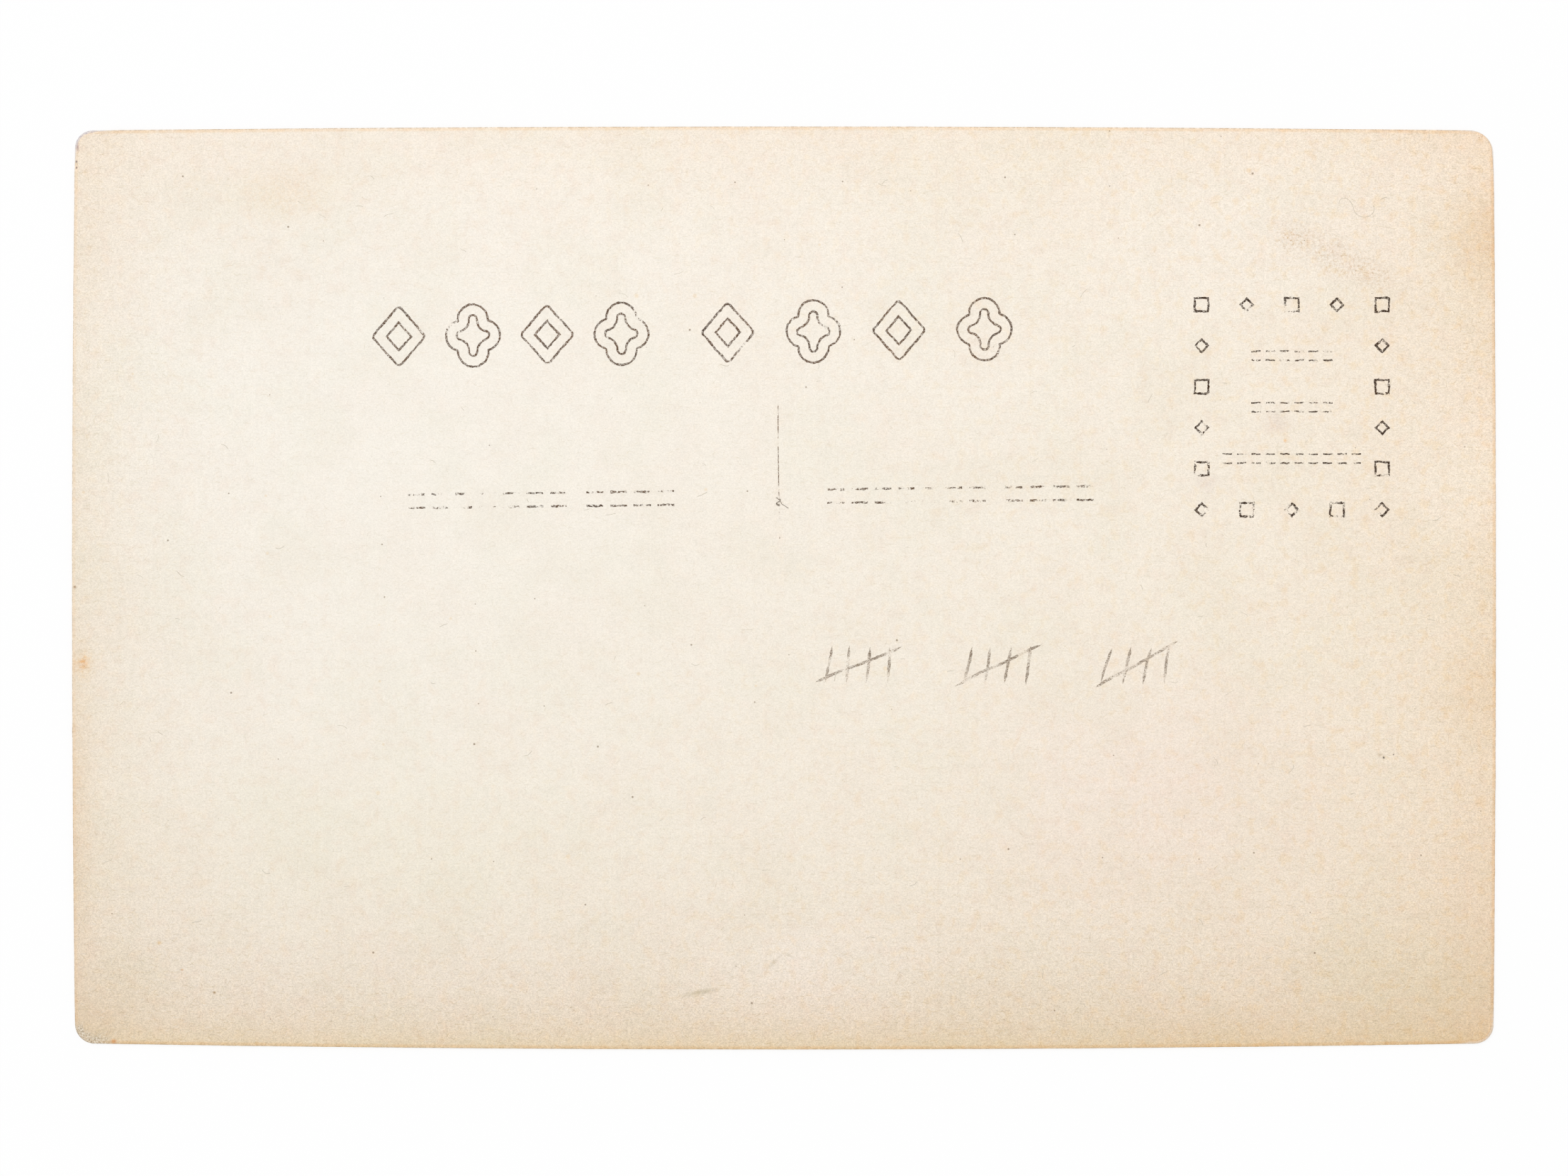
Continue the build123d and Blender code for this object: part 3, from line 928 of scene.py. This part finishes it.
def frayed_film(node, sway, seed):
    """A film's solid with its outline pushed about and its foot in the paper: sway pairs a wavelength
    with a depth in mm."""
    noise.seed_set(seed)
    film = bmesh.new()
    film.from_mesh(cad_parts[node].data)
    bmesh.ops.remove_doubles(film, verts=film.verts, dist=1e-7)
    for _ in range(FRAY_PASSES):
        long = [edge for edge in film.edges if edge.calc_length() > FRAY_STEP * MM]
        bmesh.ops.subdivide_edges(film, edges=long, cuts=1)
        bmesh.ops.triangulate(film, faces=film.faces)
    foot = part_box(node)[0].z
    for vertex in film.verts:
        x, y, _ = vertex.co / MM
        if vertex.co.z - foot < ON_FOOT * MM:
            vertex.co.z -= SOAK_DEPTH * MM
        for wavelength, depth in sway:
            push = noise.noise_vector((x / wavelength, y / wavelength, wavelength * 17))
            vertex.co.x += push.x * depth * MM
            vertex.co.y += push.y * depth * MM
    mesh = bpy.data.meshes.new("frayed_" + node)
    film.to_mesh(mesh)
    film.free()
    return mesh


# Stray fibres on the paper: radius and points in mm
HAIR = (0.018, (
    (53.49, 37.05), (53.55, 37.55), (54.25, 37.62), (54.80, 37.0), (55.0, 36.1),
    (55.75, 35.70), (56.55, 35.85), (56.95, 36.40), (56.80, 36.86)))
SHORT_HAIR = (0.020, ((57.45, 37.38), (57.75, 37.65), (58.15, 37.68)))
KNOT_TAIL = (0.026, ((-0.42, 8.45), (-0.30, 8.30), (-0.20, 8.05), (0.10, 7.92), (0.42, 7.68)))
KNOT_LOOP = (0.032, (
    (-0.78, 8.68), (-0.62, 8.72), (-0.55, 8.50), (-0.38, 8.62), (-0.34, 8.38), (-0.60, 8.30),
    (-0.80, 8.12), (-0.62, 7.98), (-0.45, 7.90)))
KNOT_STUB = (0.040, ((-0.72, 8.18), (-0.55, 8.02), (-0.40, 8.00)))

# Short fibres scattered over the paper: how many, and their lengths, radii and distance from the edge in mm
FIBRE_COUNT = 100
FIBRE_LENGTHS = (0.3, 1.1)
FIBRE_RADII = (0.010, 0.020)
FIBRE_MARGIN = 1.5


def scattered_fibres(seed):
    """Short bent fibres at random places: radius and points of each."""
    draw = np.random.default_rng(seed)
    fibres = []
    for _ in range(FIBRE_COUNT):
        x = draw.uniform(FIBRE_MARGIN - HALF_LENGTH, HALF_LENGTH - FIBRE_MARGIN)
        y = draw.uniform(FIBRE_MARGIN - HALF_HEIGHT, HALF_HEIGHT - FIBRE_MARGIN)
        step = draw.uniform(*FIBRE_LENGTHS) / 3
        angle = draw.normal(0, 0.6)
        points = [(x, y)]
        for bend in draw.normal(0, 0.5, 3):
            angle += bend
            x += step * math.cos(angle)
            y += step * math.sin(angle)
            points.append((x, y))
        fibres.append((draw.uniform(*FIBRE_RADII), points))
    return fibres


def fibre_mesh(name, strands):
    """Thin tubes on smooth lines through these points, half sunk in the paper."""
    curve = bpy.data.curves.new(name, "CURVE")
    curve.dimensions = "3D"
    curve.bevel_depth = MM
    curve.bevel_resolution = 1
    for radius, points in strands:
        spline = curve.splines.new("NURBS")
        spline.points.add(len(points) - 1)
        for point, (x, y) in zip(spline.points, points):
            point.co = (x * MM, y * MM, ADDRESS_LEVEL * MM, 1)
            point.radius = radius
        spline.order_u = 3
        spline.use_endpoint_u = True
        spline.resolution_u = 6
    holder = bpy.data.objects.new(name, curve)
    mesh = bpy.data.meshes.new_from_object(holder)
    bpy.data.objects.remove(holder)
    bpy.data.curves.remove(curve)
    return mesh


def mesh_from(name, vertices, faces):
    """A smooth mesh."""
    mesh = bpy.data.meshes.new(name)
    mesh.from_pydata(vertices, [], faces)
    mesh.shade_smooth()
    return mesh


def new_piece(name, mesh, material):
    """A piece with one material."""
    mesh.materials.clear()
    mesh.materials.append(material)
    piece = bpy.data.objects.new(name, mesh)
    bpy.context.scene.collection.objects.link(piece)
    return piece


def dress(node, material):
    """Gives a CAD node its finish."""
    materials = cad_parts[node].data.materials
    materials.clear()
    materials.append(material)


class POSTCARD_OT_paper_base(bpy.types.Operator):
    """Builds the worn paper base over its plain solid"""

    bl_idname = "postcard.paper_base"
    bl_label = "Paper Base"

    def execute(self, context):
        settings = context.scene.postcard_paper
        mesh = mesh_from("worn_paper_base", *worn_sheet(settings))
        piece = new_piece("worn_paper_base", mesh, aged_paper(settings))
        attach(piece, "root")
        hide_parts("paper_base")
        return {"FINISHED"}


class POSTCARD_OT_picture_coats(bpy.types.Operator):
    """Finishes the baryta coat, the image coat and the overcoat"""

    bl_idname = "postcard.picture_coats"
    bl_label = "Picture Coats"

    def execute(self, context):
        settings = context.scene.postcard_picture
        dress("baryta_coat", soiled_baryta(settings))
        dress("image_coat", silver_picture("silver_image", settings, 0.40))
        dress("overcoat", silver_picture("glossy_picture", settings, 0.12))
        return {"FINISHED"}


# Printed films: the sway of their outline, body, cover, patch and gap sizes in mm, and barer places
# with their centre, half size and loss of cover
TITLE_SWAY = ((1.1, 0.06), (0.30, 0.06))
SMALL_SWAY = ((0.6, 0.05), (0.22, 0.07))
RULE_SWAY = ((4.0, 0.05), (0.25, 0.03))
PRINTED_FILMS = (
    ("title_ornaments", TITLE_SWAY, 0.66, 0.78, 3.0, 0.22, ()),
    ("divider_rule", RULE_SWAY, 0.45, 0.55, 0.8, 0.11,
     (((-0.7, 13.95), (0.6, 0.5), 0.6), ((-0.6, 6.8), (0.6, 2.6), 0.38))),
    ("message_caption", SMALL_SWAY, 0.78, 0.54, 0.8, 0.18, (((-30.0, 8.4), (5.0, 1.6), 0.2),)),
    ("address_caption", SMALL_SWAY, 0.70, 0.50, 0.8, 0.18, (((14.0, 8.6), (4.0, 1.6), 0.25),)),
    ("stamp_frame", SMALL_SWAY, 1.05, 0.70, 0.8, 0.15,
     (((49.0, 7.6), (13.0, 2.0), 0.16), ((40.3, 14.0), (2.0, 6.0), 0.08),
      ((49.0, 27.3), (12.0, 1.5), 0.10))),
    ("stamp_lines", SMALL_SWAY, 1.0, 0.61, 0.8, 0.15, ()),
)


class POSTCARD_OT_printed_marks(bpy.types.Operator):
    """Frays and finishes the films of printing ink"""

    bl_idname = "postcard.printed_marks"
    bl_label = "Printed Marks"

    def execute(self, context):
        settings = context.scene.postcard_print
        for node, sway, body, cover, patch, gap, bare in PRINTED_FILMS:
            ink = worn_ink("ink_of_" + node, settings, body, cover, patch, gap, bare)
            piece = new_piece("worn_" + node, frayed_film(node, sway, settings.seed), ink)
            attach(piece, "root")
            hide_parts(node)
        return {"FINISHED"}


# The pencil line's sway: wavelengths and depths in mm
PENCIL_SWAY = ((3.5, 0.22), (0.30, 0.06))


class POSTCARD_OT_pencil_marks(bpy.types.Operator):
    """Sways and finishes the pencil tally"""

    bl_idname = "postcard.pencil_marks"
    bl_label = "Pencil Marks"

    def execute(self, context):
        settings = context.scene.postcard_print
        mesh = frayed_film("pencil_tally", PENCIL_SWAY, settings.seed)
        piece = new_piece("drawn_pencil_tally", mesh, pencil_graphite(settings))
        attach(piece, "root")
        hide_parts("pencil_tally")
        return {"FINISHED"}


class POSTCARD_OT_stray_fibres(bpy.types.Operator):
    """Lays the stray hairs and the knotted fibre on the paper"""

    bl_idname = "postcard.stray_fibres"
    bl_label = "Stray Fibres"

    def execute(self, context):
        named = (HAIR, SHORT_HAIR, KNOT_TAIL, KNOT_LOOP, KNOT_STUB)
        scattered = scattered_fibres(context.scene.postcard_paper.seed)
        mesh = fibre_mesh("stray_fibres", (*named, *scattered))
        piece = new_piece("stray_fibres", mesh, stray_fibre())
        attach(piece, "root")
        return {"FINISHED"}


# The stage, in metres, and the width of the camera's sensor in mm
FLOOR_REACH = 2.0
FLOOR_DROP = 0.01 * MM
LAMP_PLACE = (-1.0, 1.2, 2.2)
LAMP_SIZE = 1.6
NEAREST_SEEN = 0.005
SENSOR_WIDTH = 36


def floor_mesh():
    """A wide flat floor."""
    turns = ((-1, -1), (1, -1), (1, 1), (-1, 1))
    vertices = [(x * FLOOR_REACH, y * FLOOR_REACH, -FLOOR_DROP) for x, y in turns]
    return mesh_from("studio_floor", vertices, [(0, 1, 2, 3)])


def seen_rays(w):
    """1 for the rays that show the surround: the camera's, and those of gloss and glass."""
    path = w.node("ShaderNodeLightPath").outputs
    seen = w.math("MAXIMUM", path["Is Camera Ray"], path["Is Glossy Ray"])
    return w.math("MAXIMUM", seen, path["Is Transmission Ray"])


def floor_paint(glow):
    """Matt white with a faint shadow, clear from below so that the picture side is lit and seen."""
    material, w, shader, place = new_material("studio_white")
    speckle = w.noise(place, 0.02)
    w.feed(shader["Base Color"], w.lay(WHITE, (0.995, 0.995, 0.995), speckle))
    shader["Roughness"].default_value = 1.0
    shader["Specular IOR Level"].default_value = 0.0
    surface = material.node_tree.nodes["Material Output"].inputs["Surface"]
    paint = surface.links[0].from_socket
    white = w.node("ShaderNodeEmission", {"Color": WHITE, "Strength": 1.0}).outputs["Emission"]
    clear = w.node("ShaderNodeBsdfTransparent").outputs["BSDF"]
    below = w.node("ShaderNodeNewGeometry").outputs["Backfacing"]
    shown = w.product(seen_rays(w), w.math("SUBTRACT", 1, below))
    w.feed(surface, w.mix_shaders(shown, clear, w.mix_shaders(glow, paint, white)))
    return material


def studio_world(share):
    """Even light on the card from all round, and a white surround for the camera and for gloss."""
    world = bpy.data.worlds.new("studio")
    world.use_nodes = True
    world.node_tree.nodes.clear()
    w = Wiring(world.node_tree)
    strength = w.linear(seen_rays(w), 1 - share, share)
    light = w.node("ShaderNodeBackground", {"Color": WHITE, "Strength": strength})
    surround = w.node("ShaderNodeOutputWorld")
    w.feed(surround.inputs["Surface"], light.outputs["Background"])
    bpy.context.scene.world = world


def soft_lamp(share):
    """A square lamp whose light on the card is a given share of full white."""
    lamp = bpy.data.lights.new("key_lamp", "AREA")
    lamp.size = LAMP_SIZE
    distance = math.hypot(*LAMP_PLACE)
    slant = LAMP_PLACE[2] / distance
    lamp.energy = share * math.pi ** 2 * distance ** 2 / slant
    holder = bpy.data.objects.new("key_lamp", lamp)
    bpy.context.scene.collection.objects.link(holder)
    holder.location = LAMP_PLACE
    holder.rotation_euler = Vector(LAMP_PLACE).to_track_quat("Z", "Y").to_euler()


class POSTCARD_OT_stage(bpy.types.Operator):
    """Sets the floor, the light and the camera straight above the card"""

    bl_idname = "postcard.stage"
    bl_label = "Stage"

    def execute(self, context):
        settings = context.scene.postcard_stage
        floor = new_piece("studio_floor", floor_mesh(), floor_paint(settings.floor_glow))
        studio_world(1 - settings.key_share)
        soft_lamp(settings.key_share)
        lens = bpy.data.cameras.new("photo_camera")
        lens.lens = settings.lens
        lens.sensor_width = SENSOR_WIDTH
        lens.clip_start = NEAREST_SEEN
        camera = bpy.data.objects.new("photo_camera", lens)
        context.scene.collection.objects.link(camera)
        camera.location = (0, 0, settings.camera_height + ADDRESS_LEVEL * MM)
        context.scene.camera = camera
        context.scene.view_settings.view_transform = "Standard"
        return {"FINISHED"}


OPERATORS = (
    POSTCARD_OT_paper_base,
    POSTCARD_OT_picture_coats,
    POSTCARD_OT_printed_marks,
    POSTCARD_OT_pencil_marks,
    POSTCARD_OT_stray_fibres,
    POSTCARD_OT_stage,
)
SETTINGS = {
    "postcard_paper": PaperSettings,
    "postcard_print": PrintSettings,
    "postcard_picture": PictureSettings,
    "postcard_stage": StageSettings,
}


class POSTCARD_PT_sidebar(bpy.types.Panel):
    """Lists the pieces of the postcard and their settings"""

    bl_idname = "POSTCARD_PT_sidebar"
    bl_label = "Postcard"
    bl_space_type = "VIEW_3D"
    bl_region_type = "UI"
    bl_category = "Postcard"

    def draw(self, context):
        for operator in OPERATORS:
            self.layout.operator(operator.bl_idname)
        for name, settings in SETTINGS.items():
            box = self.layout.box()
            for value in settings.__annotations__:
                box.prop(getattr(context.scene, name), value)


def register():
    for kind in (*SETTINGS.values(), *OPERATORS, POSTCARD_PT_sidebar):
        bpy.utils.register_class(kind)
    for name, settings in SETTINGS.items():
        setattr(bpy.types.Scene, name, PointerProperty(type=settings))


def unregister():
    for name in SETTINGS:
        delattr(bpy.types.Scene, name)
    for kind in reversed((*SETTINGS.values(), *OPERATORS, POSTCARD_PT_sidebar)):
        bpy.utils.unregister_class(kind)


def main():
    register()
    bpy.ops.postcard.paper_base()
    bpy.ops.postcard.picture_coats()
    bpy.ops.postcard.printed_marks()
    bpy.ops.postcard.pencil_marks()
    bpy.ops.postcard.stray_fibres()
    bpy.ops.postcard.stage()


if __name__ == "__main__":
    main()
